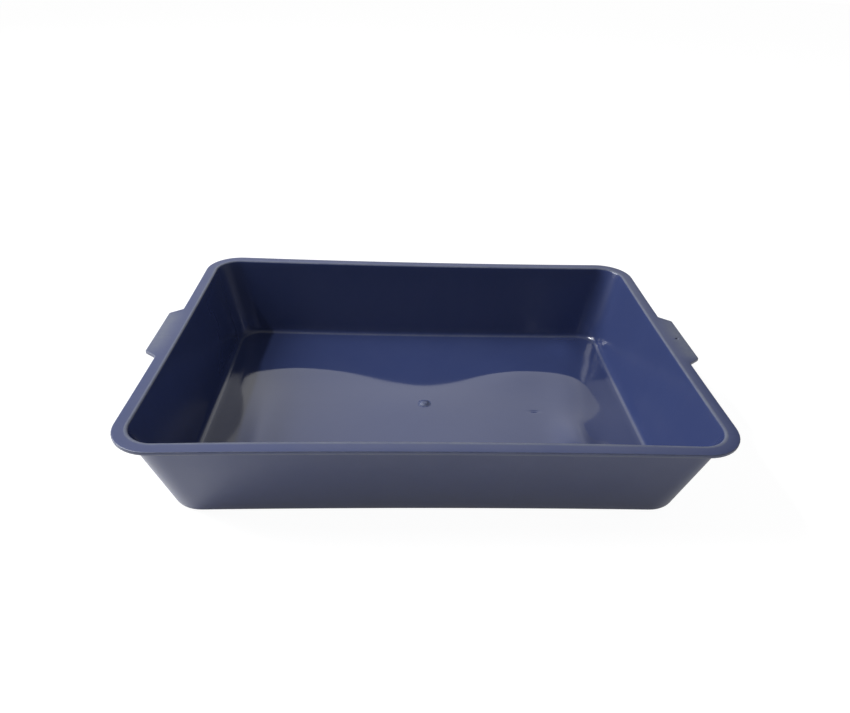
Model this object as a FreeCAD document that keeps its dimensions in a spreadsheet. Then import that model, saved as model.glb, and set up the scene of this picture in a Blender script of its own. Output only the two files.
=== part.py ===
# Rectangular mixing tray for plaster and joint compound, in millimetres.
#
# The tray is one plastic moulding. It is modelled first as its mould makes it: a flared basin with
# rounded corners, a flat rim with a grip lug on each short side, and the gate boss where the plastic
# came in. The moulding is then divided into its regions, and each region is one sub-part.
# X runs along the tray, Y across it and Z up. The origin is the middle of the underside.
import FreeCAD, Part
import math
import os
import Sketcher

doc = FreeCAD.newDocument("MixingTray")

# ---------------------------------------------------------------- driving dimensions
SIZES = {
    # rim and basin
    "rim_length": 400.0,            # over the flange, without the lugs
    "rim_width": 300.0,
    "tray_height": 69.0,
    "flange_width": 9.5,            # from the opening to the outside of the flange
    "wall_thickness": 2.4,          # the same in floor, walls, flange and lugs
    "wall_flare": 16.0,             # how far a wall leans out between the floor and the opening
    "basin_corner_radius": 20.5,    # inside, where two walls meet
    # rounded edges
    "heel_radius": 3.5,             # underside to walls
    "root_radius": 5.0,             # floor to walls, inside
    "opening_edge_radius": 2.0,
    "flange_edge_radius": 0.7,      # upper edge only: the mould parts along the lower one
    # grip lugs, in the middle of the short sides
    "lug_reach": 10.0,
    "lug_root_width": 76.0,
    "lug_tip_width": 61.0,
    "lug_tip_radius": 4.0,
    "lug_root_radius": 3.0,
    "pin_mark_diameter": 3.0,
    "pin_mark_depth": 0.8,
    "pin_mark_inset": 3.0,          # from the line of the rim to the middle of the mark
    # gate boss, in the middle of the floor
    "gate_diameter": 10.0,
    "gate_rise": 2.2,
    "gate_well_diameter": 7.0,
    "gate_well_depth": 1.8,
    "gate_stub_diameter": 2.6,
    "gate_stub_clearance": 0.6,     # from the end of the stub to the underside
}

sheet = doc.addObject("Spreadsheet::Sheet", "Sizes")
for row, (alias, size) in enumerate(SIZES.items(), start=1):
    sheet.set(f"A{row}", alias)
    sheet.set(f"B{row}", str(size))
    sheet.setAlias(f"B{row}", alias)
doc.recompute()

LENGTH = "Sizes.rim_length"
WIDTH = "Sizes.rim_width"
TOP = "Sizes.tray_height"
FLOOR = "Sizes.wall_thickness"
UNDER_RIM = "(Sizes.tray_height - Sizes.wall_thickness)"
FOOT = "(Sizes.wall_thickness + Sizes.root_radius)"     # where the walls have become straight

# The walls are straight in section, so length and width change evenly with height.
# The outside of a wall lies OUTSIDE further out than its inside, measured level.
LEAN = f"(Sizes.wall_flare / {UNDER_RIM})"
OUTSIDE = f"(Sizes.wall_thickness * sqrt(1 + {LEAN} ^ 2))"


def wall_span(rim_span, height, outset="0"):
    """Length or width between two facing walls at a height."""
    return f"({rim_span} - 2 * (Sizes.flange_width + {LEAN} * ({TOP} - {height})) + 2 * {outset})"


def corner_line(rim_span, height):
    """Distance from the middle of the tray to where a corner begins."""
    return f"({wall_span(rim_span, height)} / 2 - Sizes.basin_corner_radius)"


def value(expression):
    return float(sheet.evalExpression(expression))


# ---------------------------------------------------------------- sketches
def origin_plane(body, role):
    return next(item for item in body.Origin.OriginFeatures if item.Role == role)


def new_sketch(body, name, plane="XY_Plane", height="0"):
    """A sketch on one of the body's own origin planes, lifted to a height."""
    sketch = body.newObject("Sketcher::SketchObject", name)
    sketch.AttachmentSupport = [(origin_plane(body, plane), "")]
    sketch.MapMode = "FlatFace"
    sketch.setExpression("AttachmentOffset.Base.z", height)
    return sketch


def drive(sketch, constraint, expression):
    """Add a constraint whose size follows an expression."""
    index = sketch.addConstraint(constraint)
    sketch.setExpression(f"Constraints[{index}]", expression)


def pin(sketch, edge, end, x, y):
    """Hold one end of an edge at a place given by two expressions."""
    drive(sketch, Sketcher.Constraint("DistanceX", -1, 1, edge, end, value(x)), x)
    drive(sketch, Sketcher.Constraint("DistanceY", -1, 1, edge, end, value(y)), y)


def add_lines(sketch, points):
    """Straight edges from point to point. Each point is a pair of expressions."""
    places = [FreeCAD.Vector(value(x), value(y), 0) for x, y in points]
    edges = [sketch.addGeometry(Part.LineSegment(start, end), False)
             for start, end in zip(places, places[1:])]
    for edge, following in zip(edges, edges[1:]):
        sketch.addConstraint(Sketcher.Constraint("Coincident", edge, 2, following, 1))
    return edges


def straight_outline(body, name, points, plane="XY_Plane", height="0"):
    """A closed outline with straight sides."""
    sketch = new_sketch(body, name, plane, height)
    edges = add_lines(sketch, points + points[:1])
    sketch.addConstraint(Sketcher.Constraint("Coincident", edges[-1], 2, edges[0], 1))
    for edge, (x, y) in zip(edges, points):
        pin(sketch, edge, 1, x, y)
    return sketch


def add_rounded_rectangle(sketch, length, width, radius):
    """A rectangle about the middle of the tray, with an arc at each corner."""
    half_x = value(length) / 2
    half_y = value(width) / 2
    bend = value(radius)
    in_x = half_x - bend
    in_y = half_y - bend
    # front, right, back and left side, each with the centre of the arc that follows it
    sides = [((-in_x, -half_y), (in_x, -half_y)), ((half_x, -in_y), (half_x, in_y)),
             ((in_x, half_y), (-in_x, half_y)), ((-half_x, in_y), (-half_x, -in_y))]
    centres = [(in_x, -in_y), (in_x, in_y), (-in_x, in_y), (-in_x, -in_y)]
    lines = []
    arcs = []
    for turn, (side, centre) in enumerate(zip(sides, centres)):
        start, end = (FreeCAD.Vector(x, y, 0) for x, y in side)
        lines.append(sketch.addGeometry(Part.LineSegment(start, end), False))
        full = Part.Circle(FreeCAD.Vector(*centre, 0), FreeCAD.Vector(0, 0, 1), bend)
        quarter = Part.ArcOfCircle(full, (turn - 1) * math.pi / 2, turn * math.pi / 2)
        arcs.append(sketch.addGeometry(quarter, False))
    for turn, arc in enumerate(arcs):
        sketch.addConstraint(Sketcher.Constraint("Tangent", lines[turn], 2, arc, 1))
        sketch.addConstraint(Sketcher.Constraint("Tangent", arc, 2, lines[(turn + 1) % 4], 1))
        sketch.addConstraint(Sketcher.Constraint("Vertical" if turn % 2 else "Horizontal", lines[turn]))
    for arc in arcs[1:]:
        sketch.addConstraint(Sketcher.Constraint("Equal", arcs[0], arc))
    drive(sketch, Sketcher.Constraint("Radius", arcs[0], bend), radius)
    drive(sketch, Sketcher.Constraint("DistanceX", -1, 1, lines[1], 1, half_x), f"{length} / 2")
    drive(sketch, Sketcher.Constraint("DistanceX", lines[3], 1, -1, 1, half_x), f"{length} / 2")
    drive(sketch, Sketcher.Constraint("DistanceY", -1, 1, lines[2], 1, half_y), f"{width} / 2")
    drive(sketch, Sketcher.Constraint("DistanceY", lines[0], 1, -1, 1, half_y), f"{width} / 2")


def circle(body, name, diameter, x="0", height="0"):
    """A circle on the tray's long centre line."""
    sketch = new_sketch(body, name, height=height)
    bore = Part.Circle(FreeCAD.Vector(value(x), 0, 0), FreeCAD.Vector(0, 0, 1), value(diameter) / 2)
    ring = sketch.addGeometry(bore, False)
    drive(sketch, Sketcher.Constraint("Diameter", ring, value(diameter)), diameter)
    pin(sketch, ring, 3, x, "0")
    return sketch


def dome_outline(body, name, radius, foot, rise):
    """Half of a domed disc beside the upright axis. The foot is buried in the floor."""
    sketch = new_sketch(body, name, "XZ_Plane")
    buried = f"{foot} / 2"
    crown = f"({foot} + {rise})"
    points = [("0", crown), ("0", buried), (radius, buried), (radius, foot)]
    edges = add_lines(sketch, points)
    ball = (value(radius) ** 2 + value(rise) ** 2) / (2 * value(rise))
    full = Part.Circle(FreeCAD.Vector(0, value(crown) - ball, 0), FreeCAD.Vector(0, 0, 1), ball)
    half_angle = math.asin(value(radius) / ball)
    cap = sketch.addGeometry(Part.ArcOfCircle(full, math.pi / 2 - half_angle, math.pi / 2), False)
    sketch.addConstraint(Sketcher.Constraint("Coincident", edges[-1], 2, cap, 1))
    sketch.addConstraint(Sketcher.Constraint("Coincident", cap, 2, edges[0], 1))
    sketch.addConstraint(Sketcher.Constraint("PointOnObject", cap, 3, -2))
    for edge, (x, y) in zip(edges, points):
        pin(sketch, edge, 1, x, y)
    pin(sketch, edges[-1], 2, *points[-1])
    return sketch


# ---------------------------------------------------------------- features
def pad(body, name, profile, thickness, downward=False):
    feature = body.newObject("PartDesign::Pad", name)
    feature.Profile = profile
    feature.setExpression("Length", thickness)
    feature.Reversed = downward
    doc.recompute()
    return feature


def revolve(body, kind, name, profile):
    """A turned shape about the upright axis."""
    feature = body.newObject(kind, name)
    feature.Profile = profile
    feature.ReferenceAxis = (profile, ["V_Axis"])
    feature.Angle = 360
    doc.recompute()


def picked(body, stem, test):
    """The body's last feature, with the names of those of its faces or edges that pass a test."""
    items = {"Face": body.Tip.Shape.Faces, "Edge": body.Tip.Shape.Edges}[stem]
    return body.Tip, [f"{stem}{number}" for number, item in enumerate(items, start=1) if test(item)]


def lean_out(body, name, angle):
    """Draft every side of an upright block outward from its underside."""
    sides = picked(body, "Face", lambda face: not near(face.BoundBox.ZLength, 0))
    feature = body.newObject("PartDesign::Draft", name)
    feature.Base = sides
    feature.setExpression("Angle", angle)
    feature.NeutralPlane = (origin_plane(body, "XY_Plane"), [""])
    feature.Reversed = True
    doc.recompute()


def hollow(body, name, test, thickness):
    """Turn a block into a shell of even thickness that is open at the faces that pass the test."""
    mouth = picked(body, "Face", test)
    feature = body.newObject("PartDesign::Thickness", name)
    feature.Base = mouth
    feature.setExpression("Value", thickness)
    feature.Reversed = True
    doc.recompute()


def round_edges(body, name, test, radius):
    edges = picked(body, "Edge", test)
    feature = body.newObject("PartDesign::Fillet", name)
    feature.Base = edges
    feature.setExpression("Radius", radius)
    doc.recompute()


def mirror(body, name, feature_to_copy):
    """Repeat a feature on the other side of the tray's middle."""
    feature = body.newObject("PartDesign::Mirrored", name)
    feature.Originals = [feature_to_copy]
    feature.MirrorPlane = (origin_plane(body, "YZ_Plane"), [""])
    body.Tip = feature
    doc.recompute()


def near(first, second):
    return abs(first - second) < 1e-4


def is_level(item, height):
    """A face or edge that lies level at a height."""
    return near(item.BoundBox.ZMin, height) and near(item.BoundBox.ZMax, height)


def is_upright(edge, x, y):
    """An upright edge this far along and across from the middle, in any quarter of the tray."""
    box = edge.BoundBox
    upright = near(box.XLength, 0) and near(box.YLength, 0)
    return upright and near(abs(box.Center.x), x) and near(abs(box.Center.y), y)


def reaches_past(edge, half_x, half_y):
    """An edge that lies at least partly outside a rectangle about the middle."""
    box = edge.BoundBox
    return max(-box.XMin, box.XMax) > half_x or max(-box.YMin, box.YMax) > half_y


# ---------------------------------------------------------------- the whole moulding
moulding = doc.addObject("PartDesign::Body", "Moulding")

# The basin: a block the size of its underside, its sides drafted, its corners rounded, then hollowed.
half_length = f"{wall_span(LENGTH, '0', OUTSIDE)} / 2"
half_width = f"{wall_span(WIDTH, '0', OUTSIDE)} / 2"
pad(moulding, "Block", straight_outline(moulding, "Underside", [
    (f"-{half_length}", f"-{half_width}"), (half_length, f"-{half_width}"),
    (half_length, half_width), (f"-{half_length}", half_width)]), TOP)
lean_out(moulding, "Flare", f"atan({LEAN})")
round_edges(moulding, "Corners", lambda edge: not near(edge.BoundBox.ZLength, 0),
            "Sizes.basin_corner_radius + Sizes.wall_thickness")
top = value(TOP)
hollow(moulding, "Hollow", lambda face: is_level(face, top), "Sizes.wall_thickness")
floor_height = value(FLOOR)
round_edges(moulding, "Heel", lambda edge: is_level(edge, 0), "Sizes.heel_radius")
round_edges(moulding, "Root", lambda edge: is_level(edge, floor_height), "Sizes.root_radius")

# The flat rim, and a lug on each short side that is flush with it.
RIM_END = f"({LENGTH} / 2)"
LUG_END = f"({RIM_END} + Sizes.lug_reach)"
IN_RIM = f"({RIM_END} - Sizes.flange_width / 2)"
ROOT = "Sizes.lug_root_width / 2"
TIP = "Sizes.lug_tip_width / 2"
rim_outline = new_sketch(moulding, "RimOutline", height=TOP)
add_rounded_rectangle(rim_outline, LENGTH, WIDTH, "(Sizes.basin_corner_radius + Sizes.flange_width)")
IN_WALL = f"{OUTSIDE} / 2"
add_rounded_rectangle(rim_outline, wall_span(LENGTH, TOP, IN_WALL), wall_span(WIDTH, TOP, IN_WALL),
                      "(Sizes.basin_corner_radius + Sizes.wall_thickness / 2)")
pad(moulding, "Rim", rim_outline, "Sizes.wall_thickness", downward=True)
lug_outline = straight_outline(moulding, "LugOutline", height=TOP, points=[
    (IN_RIM, f"-{ROOT}"), (RIM_END, f"-{ROOT}"), (LUG_END, f"-{TIP}"),
    (LUG_END, TIP), (RIM_END, ROOT), (IN_RIM, ROOT)])
right_lug = pad(moulding, "RightLug", lug_outline, "Sizes.wall_thickness", downward=True)
mirror(moulding, "LeftLug", right_lug)

# The upright corners of the lugs.
tips = (value(LUG_END), value(TIP))
roots = (value(RIM_END), value(ROOT))
round_edges(moulding, "LugTips", lambda edge: is_upright(edge, *tips), "Sizes.lug_tip_radius")
round_edges(moulding, "LugRoots", lambda edge: is_upright(edge, *roots), "Sizes.lug_root_radius")

# The upper edges of the rim: the opening, then the outside with the lugs.
wall_half_x = value(wall_span(LENGTH, TOP, OUTSIDE)) / 2
wall_half_y = value(wall_span(WIDTH, TOP, OUTSIDE)) / 2


def is_outside(edge):
    return reaches_past(edge, wall_half_x, wall_half_y)


round_edges(moulding, "OpeningEdge", lambda edge: is_level(edge, top) and not is_outside(edge),
            "Sizes.opening_edge_radius")
round_edges(moulding, "FlangeEdge", lambda edge: is_level(edge, top) and is_outside(edge),
            "Sizes.flange_edge_radius")

# A shallow round mark in the right lug.
pin_mark = moulding.newObject("PartDesign::Pocket", "PinMark")
pin_mark.Profile = circle(moulding, "MarkOutline", "Sizes.pin_mark_diameter",
                          x=f"({RIM_END} + Sizes.pin_mark_inset)", height=TOP)
pin_mark.setExpression("Length", "Sizes.pin_mark_depth")
doc.recompute()

# The gate boss: a low dome on the floor, over a well that keeps the stub of the gate off the table.
GATE = "Sizes.gate_diameter / 2"
WELL = "Sizes.gate_well_diameter / 2"
STUB = "Sizes.gate_stub_diameter / 2"
DEEP = "Sizes.gate_well_depth"
CLEAR = "Sizes.gate_stub_clearance"
revolve(moulding, "PartDesign::Revolution", "GateDome",
        dome_outline(moulding, "DomeOutline", GATE, FLOOR, "Sizes.gate_rise"))
revolve(moulding, "PartDesign::Groove", "GateWell",
        straight_outline(moulding, "WellOutline", plane="XZ_Plane", points=[
            ("0", "0"), (WELL, "0"), (WELL, DEEP), (STUB, DEEP), (STUB, CLEAR), ("0", CLEAR)]))


# ---------------------------------------------------------------- the blocks that divide it
def about_z(degrees):
    return FreeCAD.Rotation(FreeCAD.Vector(0, 0, 1), degrees)


def wedge(name, bounds, rotation):
    """A block between two parallel faces, which Ymin and Ymax place. They may differ in size."""
    block = doc.addObject("Part::Wedge", name)
    for bound, expression in bounds.items():
        block.setExpression(bound, expression)
    block.Placement = FreeCAD.Placement(FreeCAD.Vector(0, 0, 0), rotation)
    return block


def upright_block(name, turn, lower, upper):
    """A block from the foot of the walls to the underside of the rim, turned about Z by quarters.

    lower and upper give its two ends: (from, to) along the side, then (from, to) outward.
    """
    (low_start, low_end), (low_in, low_out) = lower
    (high_start, high_end), (high_in, high_out) = upper
    bounds = {"Ymin": FOOT, "Xmin": low_start, "Xmax": low_end, "Zmin": low_in, "Zmax": low_out,
              "Ymax": UNDER_RIM, "X2min": high_start, "X2max": high_end,
              "Z2min": high_in, "Z2max": high_out}
    return wedge(name, bounds, about_z(90 * turn) * FreeCAD.Rotation(FreeCAD.Vector(1, 0, 0), 90))


def foot_block(name, turn, along, across):
    """A flat block round the foot of one side. It is mitred at both corners."""
    inset = "(Sizes.flange_width + Sizes.wall_flare + Sizes.basin_corner_radius)"
    inner = f"({along} / 2 - {inset})"
    bounds = {"Ymin": f"{across} / 2 - {inset}", "Xmin": f"-{inner}", "Xmax": inner,
              "Ymax": f"{across} / 2", "X2min": f"-{along} / 2", "X2max": f"{along} / 2",
              "Zmin": "0", "Zmax": FOOT, "Z2min": "0", "Z2max": FOOT}
    return wedge(name, bounds, about_z(90 * turn + 180))


def side_blocks(turn, side, next_side):
    """The blocks of one side: its foot, its wall, and the corner between it and the next side."""
    along, across = (WIDTH, LENGTH) if turn % 2 else (LENGTH, WIDTH)
    wall_ends = []
    corner_ends = []
    for height in (FOOT, UNDER_RIM):
        outward = (corner_line(across, height), f"{across} / 2")
        wall_ends.append(((f"-{corner_line(along, height)}", corner_line(along, height)), outward))
        corner_ends.append(((corner_line(along, height), f"{along} / 2"), outward))
    # a corner is named front or back first
    corner = f"{next_side}_{side}" if turn % 2 else f"{side}_{next_side}"
    return {f"{side}_foot": foot_block(f"{side}_foot_block", turn, along, across),
            f"{side}_wall": upright_block(f"{side}_wall_block", turn, *wall_ends),
            f"{corner}_corner": upright_block(f"{corner}_corner_block", turn, *corner_ends)}


def box(name, start, size):
    """A box from a corner and three sizes, each an expression."""
    block = doc.addObject("Part::Box", name)
    for axis, place in zip("xyz", start):
        block.setExpression(f"Placement.Base.{axis}", place)
    for side, length in zip(("Length", "Width", "Height"), size):
        block.setExpression(side, length)
    return block


floor_block = doc.addObject("PartDesign::Body", "floor_block")
flat_outline = new_sketch(floor_block, "FlatOutline")
add_rounded_rectangle(flat_outline, f"({wall_span(LENGTH, FLOOR)} - 2 * Sizes.root_radius)",
                      f"({wall_span(WIDTH, FLOOR)} - 2 * Sizes.root_radius)",
                      "(Sizes.basin_corner_radius - Sizes.root_radius)")
pad(floor_block, "FloorPad", flat_outline, FLOOR)

gate_block = doc.addObject("Part::Cylinder", "gate_block")
gate_block.setExpression("Radius", GATE)
gate_block.setExpression("Height", TOP)

SIDES = ["front", "right", "back", "left"]
blocks = {}
for turn, side in enumerate(SIDES):
    blocks.update(side_blocks(turn, side, SIDES[(turn + 1) % 4]))
blocks["rim_flange"] = box("rim_block", (f"-{RIM_END}", f"-{WIDTH} / 2", UNDER_RIM),
                           (LENGTH, WIDTH, "Sizes.wall_thickness"))
for side, start in (("left", f"-{LUG_END}"), ("right", RIM_END)):
    blocks[f"{side}_grip_lug"] = box(f"{side}_lug_block", (start, f"-{WIDTH} / 2", UNDER_RIM),
                                     ("Sizes.lug_reach", WIDTH, "Sizes.wall_thickness"))
doc.recompute()


# ---------------------------------------------------------------- the sub-parts
def combine(kind, label, base, tool):
    region = doc.addObject(kind, label)
    region.Base = base
    region.Tool = tool
    return region


around_floor = combine("Part::Cut", "around_floor", moulding, floor_block)
surround = combine("Part::Cut", "surround", around_floor, gate_block)
subparts = [combine("Part::Cut", "floor_panel", floor_block, gate_block),
            combine("Part::Common", "gate_boss", moulding, gate_block)]
for label, block in blocks.items():
    subparts.append(combine("Part::Common", label, surround, block))
doc.recompute()

for item in doc.Objects:
    if {"Invalid", "Error"} & set(item.State):
        raise RuntimeError(f"{item.Label} did not build: {item.State}")
for subpart in subparts:
    shape = subpart.Shape
    if shape.isNull() or not shape.isValid() or len(shape.Solids) != 1:
        raise RuntimeError(f"{subpart.Label} is not one sound solid")

os.makedirs("parts", exist_ok=True)
for subpart in subparts:
    subpart.Shape.exportStep(f"parts/{subpart.Label}.step")
    print(f"{subpart.Label}: {subpart.Shape.Volume / 1000:.2f} cm3")
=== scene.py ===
# %% [markdown]
# # A moulded plastic mixing tray
#
# The object is a shallow rectangular tray for mixing plaster. A machine makes it in one shot: hot
# navy blue plastic enters a steel mould at a gate in the middle of the floor, fills the floor, climbs
# the four walls and ends in a flat rim with a grip lug on each short side. Nothing is joined on later,
# so the whole tray is one closed skin here too.
#
# The frame holds the solid model from model.glb. Everything below is in metres in that same frame: X
# along the tray, Y across it, Z up, with the table at height zero.

# %% Load the frame
import math

import bpy
from mathutils import Matrix, Vector


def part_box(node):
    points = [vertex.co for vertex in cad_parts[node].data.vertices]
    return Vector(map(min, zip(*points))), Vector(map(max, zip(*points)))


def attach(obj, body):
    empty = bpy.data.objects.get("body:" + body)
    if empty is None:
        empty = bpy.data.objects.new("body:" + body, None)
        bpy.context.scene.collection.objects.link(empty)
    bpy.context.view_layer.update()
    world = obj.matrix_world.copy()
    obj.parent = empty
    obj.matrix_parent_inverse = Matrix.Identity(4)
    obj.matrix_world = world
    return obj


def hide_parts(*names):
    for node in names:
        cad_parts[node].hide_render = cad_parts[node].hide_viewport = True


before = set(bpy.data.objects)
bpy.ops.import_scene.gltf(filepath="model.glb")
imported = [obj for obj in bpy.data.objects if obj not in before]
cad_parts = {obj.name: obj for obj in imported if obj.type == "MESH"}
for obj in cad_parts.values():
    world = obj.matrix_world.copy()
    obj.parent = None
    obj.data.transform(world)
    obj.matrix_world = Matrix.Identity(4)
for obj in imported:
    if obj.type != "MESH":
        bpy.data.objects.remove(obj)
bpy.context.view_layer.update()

# %% [markdown]
# ## Sizes
#
# The sizes that the solid model already has are read from its boxes, so the skin cannot drift away
# from it. What a box cannot tell, such as the radius of an edge, is written here once. The solid model
# has the shape that was drawn, and the skin has the shape that came out of the mould: the boss over
# the gate sank a little as it cooled, and the lugs came out slightly short.

# %% Read the sizes from the solid model
rim_low, rim_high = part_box("rim_flange")
floor_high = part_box("floor_panel")[1]
gate_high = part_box("gate_boss")[1]
lug_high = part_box("right_grip_lug")[1]

# how far the boss sank, and how much of the drawn lug's reach the plastic filled
BOSS_SANK = 0.0007
LUG_SHARE = 0.94

# all in metres; a turn is the radius of a rounded edge
SIZES = {
    "Rim Half Length": rim_high[0],
    "Rim Half Width": rim_high[1],
    "Height": rim_high[2],
    "Wall": rim_high[2] - rim_low[2],
    "Flange": 0.0095,
    "Flare": 0.016,
    "Floor Half Length": floor_high[0],
    "Corner": 0.0205,
    "Heel Turn": 0.0035,
    "Root Turn": 0.005,
    "Opening Turn": 0.002,
    "Edge Turn": 0.0007,
    "Lower Edge Turn": 0.0003,
    "Neck Turn": 0.0008,
    "Lug Reach": (lug_high[0] - rim_high[0]) * LUG_SHARE,
    "Lug Root": 0.038,
    "Lug Tip": 0.0305,
    "Lug Turn": 0.0017,
    "Gate": gate_high[0],
    "Gate Top": gate_high[2] - BOSS_SANK,
    "Gate Foot Turn": 0.0050,
    "Gate Crown Turn": 0.0060,
    "Well": 0.0035,
    "Well Depth": 0.0018,
    "Stub": 0.0013,
    "Stub Clearance": 0.0006,
    "Pin Mark": 0.0015,
    "Pin Depth": 0.0008,
    "Pin Reach": rim_high[0] + 0.003,
    "Near Side Bow": 0.0030,
    "Far Side Bow": 0.0043,
    "Short Side Bow": 0.0013,
    "Near Lip Roll": 0.0015,
    "Row Spacing": 0.0045,
}
for name, size in SIZES.items():
    print(f"{name}: {size * 1000:.2f} mm")

# %% [markdown]
# ## Writing a node tree in plain arithmetic
#
# Geometry Nodes can do arithmetic, but a Math node for every plus sign is slow to write and hard to
# read. A small class wraps one socket, and its operators add the Math nodes. A line such as
# `reach - corner` then reads as the sum it is.


# %% Numbers that flow through a node tree
def feed(tree, place, value):
    """Link a flowing number into an input, or write a plain value there."""
    if isinstance(value, Flow):
        tree.links.new(value.socket, place)
    elif isinstance(value, bpy.types.NodeSocket):
        tree.links.new(value, place)
    else:
        place.default_value = value


def add_node(tree, kind, feeds=None, **settings):
    """Add a node. settings are its own properties; feeds go to its inputs by name or number."""
    node = tree.nodes.new(kind)
    for name, value in settings.items():
        setattr(node, name, value)
    for place, value in (feeds or {}).items():
        feed(tree, node.inputs[place], value)
    return node


class Flow:
    """A number inside a node tree. Arithmetic on it adds Math nodes."""

    def __init__(self, tree, socket):
        self.tree = tree
        self.socket = socket

    def math(self, operation, *others):
        """Add a Math node with this number as its first input."""
        node = add_node(self.tree, "ShaderNodeMath", dict(enumerate((self, *others))),
                        operation=operation)
        return Flow(self.tree, node.outputs[0])

    def __add__(self, other):
        return self.math("ADD", other)

    def __sub__(self, other):
        return self.math("SUBTRACT", other)

    def __mul__(self, other):
        return self.math("MULTIPLY", other)

    def __truediv__(self, other):
        return self.math("DIVIDE", other)

    def __rsub__(self, other):
        return self.math("MULTIPLY_ADD", -1.0, other)

    __radd__ = __add__
    __rmul__ = __mul__

    def ramp(self, start, end, smooth=False):
        """0 up to start, 1 from end on, and an even or a smooth rise between."""
        kind = "SMOOTHSTEP" if smooth else "LINEAR"
        node = add_node(self.tree, "ShaderNodeMapRange",
                        {"Value": self, "From Min": start, "From Max": end}, interpolation_type=kind)
        return Flow(self.tree, node.outputs["Result"])


def split(tree, vector):
    """The three numbers of a vector."""
    node = add_node(tree, "ShaderNodeSeparateXYZ", {0: vector})
    return [Flow(tree, part) for part in node.outputs]


def join(tree, x, y, z):
    """A vector from three numbers."""
    return add_node(tree, "ShaderNodeCombineXYZ", {0: x, 1: y, 2: z}).outputs[0]


def position(tree):
    """Where each point is."""
    return add_node(tree, "GeometryNodeInputPosition").outputs[0]


def own_number(tree):
    """Each point's place in the count."""
    return Flow(tree, add_node(tree, "GeometryNodeInputIndex").outputs[0])


# %% [markdown]
# ## The section
#
# Cut the tray in half along its length and its section is a thin line with a few turns: the well under
# the gate, the flat underside, the heel, the outside of the wall, the flange, the opening's edge, the
# inside of the wall, the root, the floor and the gate boss. That is 14 points, and all but the two
# ends are sharp corners with a radius of their own. Fillet Curve rounds them all, as the mould maker's
# cutter does, and Subdivide Curve adds rows of points on the long flat stretches, where the floor needs
# them for its slight swells.
#
# The boss over the gate is a low dome. Its foot and its crown have wide turns, because the plastic is
# thick there and sank while it was still soft.


# %% A value for each corner of the section
def pick(tree, kind, values):
    """Give each point the value that stands at its own number in a list."""
    switch = add_node(tree, "GeometryNodeIndexSwitch", data_type=kind)
    while len(switch.index_switch_items) < len(values):
        switch.index_switch_items.new()
    feed(tree, switch.inputs[0], own_number(tree))
    for place, value in zip(switch.inputs[1:], values):
        feed(tree, place, value)
    return switch.outputs[0]


# %% Where the inside of the wall stands
def wall_lean(size):
    """How far the wall leans out for each metre of height."""
    return size["Flare"] / (size["Height"] - size["Wall"])


def inner_face(size, height):
    """Reach of the wall's inner face at a height."""
    return size["Rim Half Length"] - size["Flange"] - wall_lean(size) * (size["Height"] - height)


# %% The rounded section as a line of points
# turns of the stub and the well under the gate, the flat share of the dome's top, points in a turn
STUB_TURN = 0.0002
WELL_TURN = 0.0003
DOME_SHARE = 0.35
TURN_POINTS = 6


def draw_section(tree, size):
    """The section from the middle of the underside, round the rim, to the top of the gate boss."""
    lean = wall_lean(size)
    opening = size["Rim Half Length"] - size["Flange"]
    level_wall = size["Wall"] * (lean * lean + 1.0).math("SQRT")
    under_rim = size["Height"] - size["Wall"]
    corners = [
        (0.0, size["Stub Clearance"], 0.0),
        (size["Stub"], size["Stub Clearance"], STUB_TURN),
        (size["Stub"], size["Well Depth"], STUB_TURN),
        (size["Well"], size["Well Depth"], STUB_TURN),
        (size["Well"], 0.0, WELL_TURN),
        (inner_face(size, 0.0) + level_wall, 0.0, size["Heel Turn"]),
        (inner_face(size, under_rim) + level_wall, under_rim, size["Neck Turn"]),
        (size["Rim Half Length"], under_rim, size["Lower Edge Turn"]),
        (size["Rim Half Length"], size["Height"], size["Edge Turn"]),
        (opening, size["Height"], size["Opening Turn"]),
        (inner_face(size, size["Wall"]), size["Wall"], size["Root Turn"]),
        (size["Gate"], size["Wall"], size["Gate Foot Turn"]),
        (size["Gate"] * DOME_SHARE, size["Gate Top"], size["Gate Crown Turn"]),
        (0.0, size["Gate Top"], 0.0),
    ]
    places = [join(tree, reach, height, 0.0) for reach, height, turn in corners]
    dots = add_node(tree, "GeometryNodePoints",
                    {"Count": len(corners), "Position": pick(tree, "VECTOR", places)})
    line = add_node(tree, "GeometryNodePointsToCurves", {0: dots.outputs[0]})
    feed(tree, line.inputs["Weight"], own_number(tree))
    rounded = add_node(tree, "GeometryNodeFilletCurve", {
        "Curve": line.outputs[0], "Limit Radius": True, "Count": TURN_POINTS,
        "Radius": pick(tree, "FLOAT", [turn for reach, height, turn in corners])}, mode="POLY")

    here = position(tree)
    ahead = add_node(tree, "GeometryNodeFieldAtIndex",
                     {"Index": own_number(tree) + 1.0, "Value": here},
                     data_type="FLOAT_VECTOR", domain="POINT").outputs[0]
    gap = add_node(tree, "ShaderNodeVectorMath", {0: ahead, 1: here}, operation="DISTANCE")
    cuts = (Flow(tree, gap.outputs["Value"]) / size["Row Spacing"]).math("FLOOR")
    rows = add_node(tree, "GeometryNodeSubdivideCurve", {"Curve": rounded.outputs[0], "Cuts": cuts})
    return add_node(tree, "GeometryNodeCurveToMesh", {"Curve": rows.outputs[0]}).outputs[0]


# %% [markdown]
# ## The way round
#
# The section is carried round the tray by columns. A column belongs to a long side, a corner or a
# short side. Two numbers say where it starts on the inner rectangle, from -1 to 1, and an angle says
# which way is outward. The second half of the columns is the first half turned about Z, so the tray is
# even on both ends. On the short sides the columns crowd together where the lug's outline bends.

# %% How many columns each stretch has
LONG_COLUMNS = 112
CORNER_COLUMNS = 12
SHORT_COLUMNS = 92
HALF_COLUMNS = LONG_COLUMNS + SHORT_COLUMNS + 2 * CORNER_COLUMNS
COLUMNS = 2 * HALF_COLUMNS

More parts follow.
